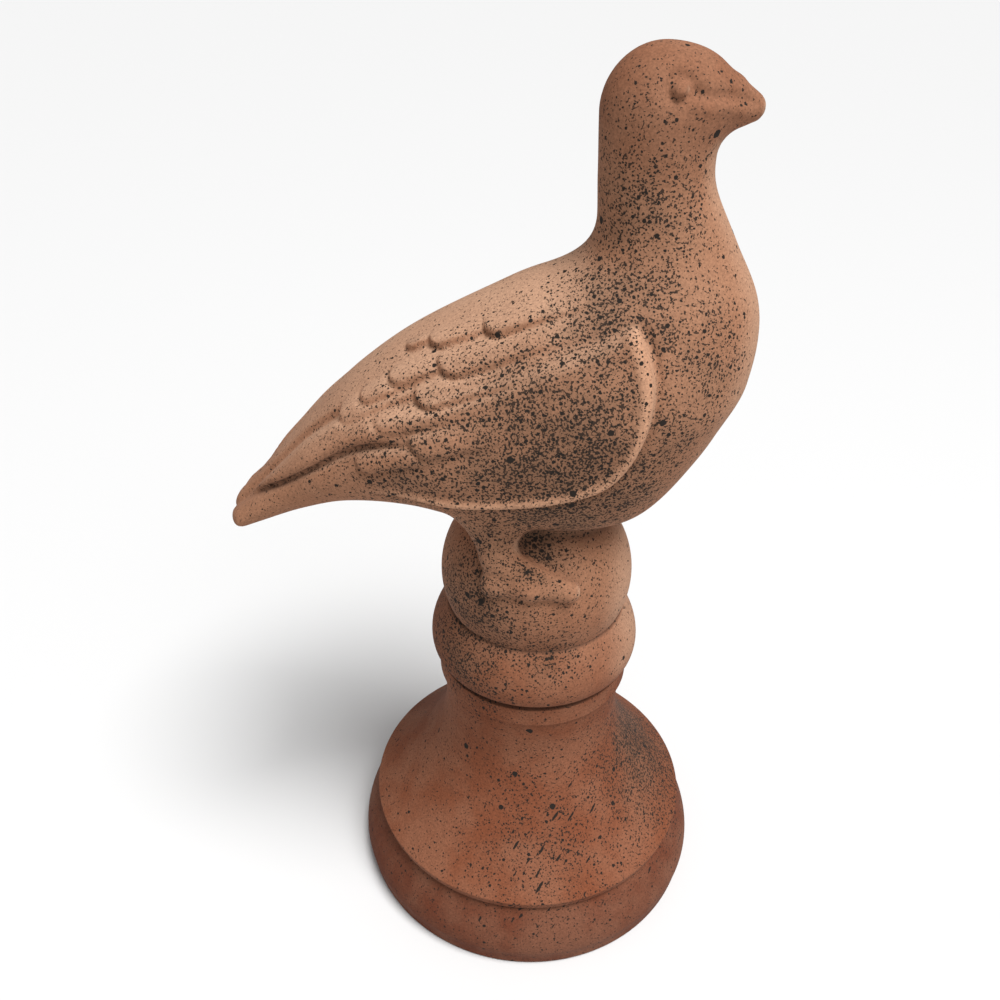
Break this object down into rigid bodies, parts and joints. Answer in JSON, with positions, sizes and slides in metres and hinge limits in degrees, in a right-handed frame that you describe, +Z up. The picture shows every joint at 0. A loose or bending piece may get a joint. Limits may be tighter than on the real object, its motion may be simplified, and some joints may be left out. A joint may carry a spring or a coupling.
{
  "type": "pigeon roof finial",
  "caption": "Terracotta roof finial: a pigeon with folded wings perched on a ball above a turned pedestal with a flared foot.",
  "frame": {"origin": "centre of the pedestal's flat underside", "axes": "+Z up the pedestal's axis, +X the way the bird faces, +Y its left side"},
  "size_m": [0.1913, 0.15, 0.348],
  "materials": {
    "terracotta": "matte, unglazed, with dark spatter"
  },
  "bodies": {
    "root": {"pigeon_finial": "terracotta"}
  },
  "joints": []
}
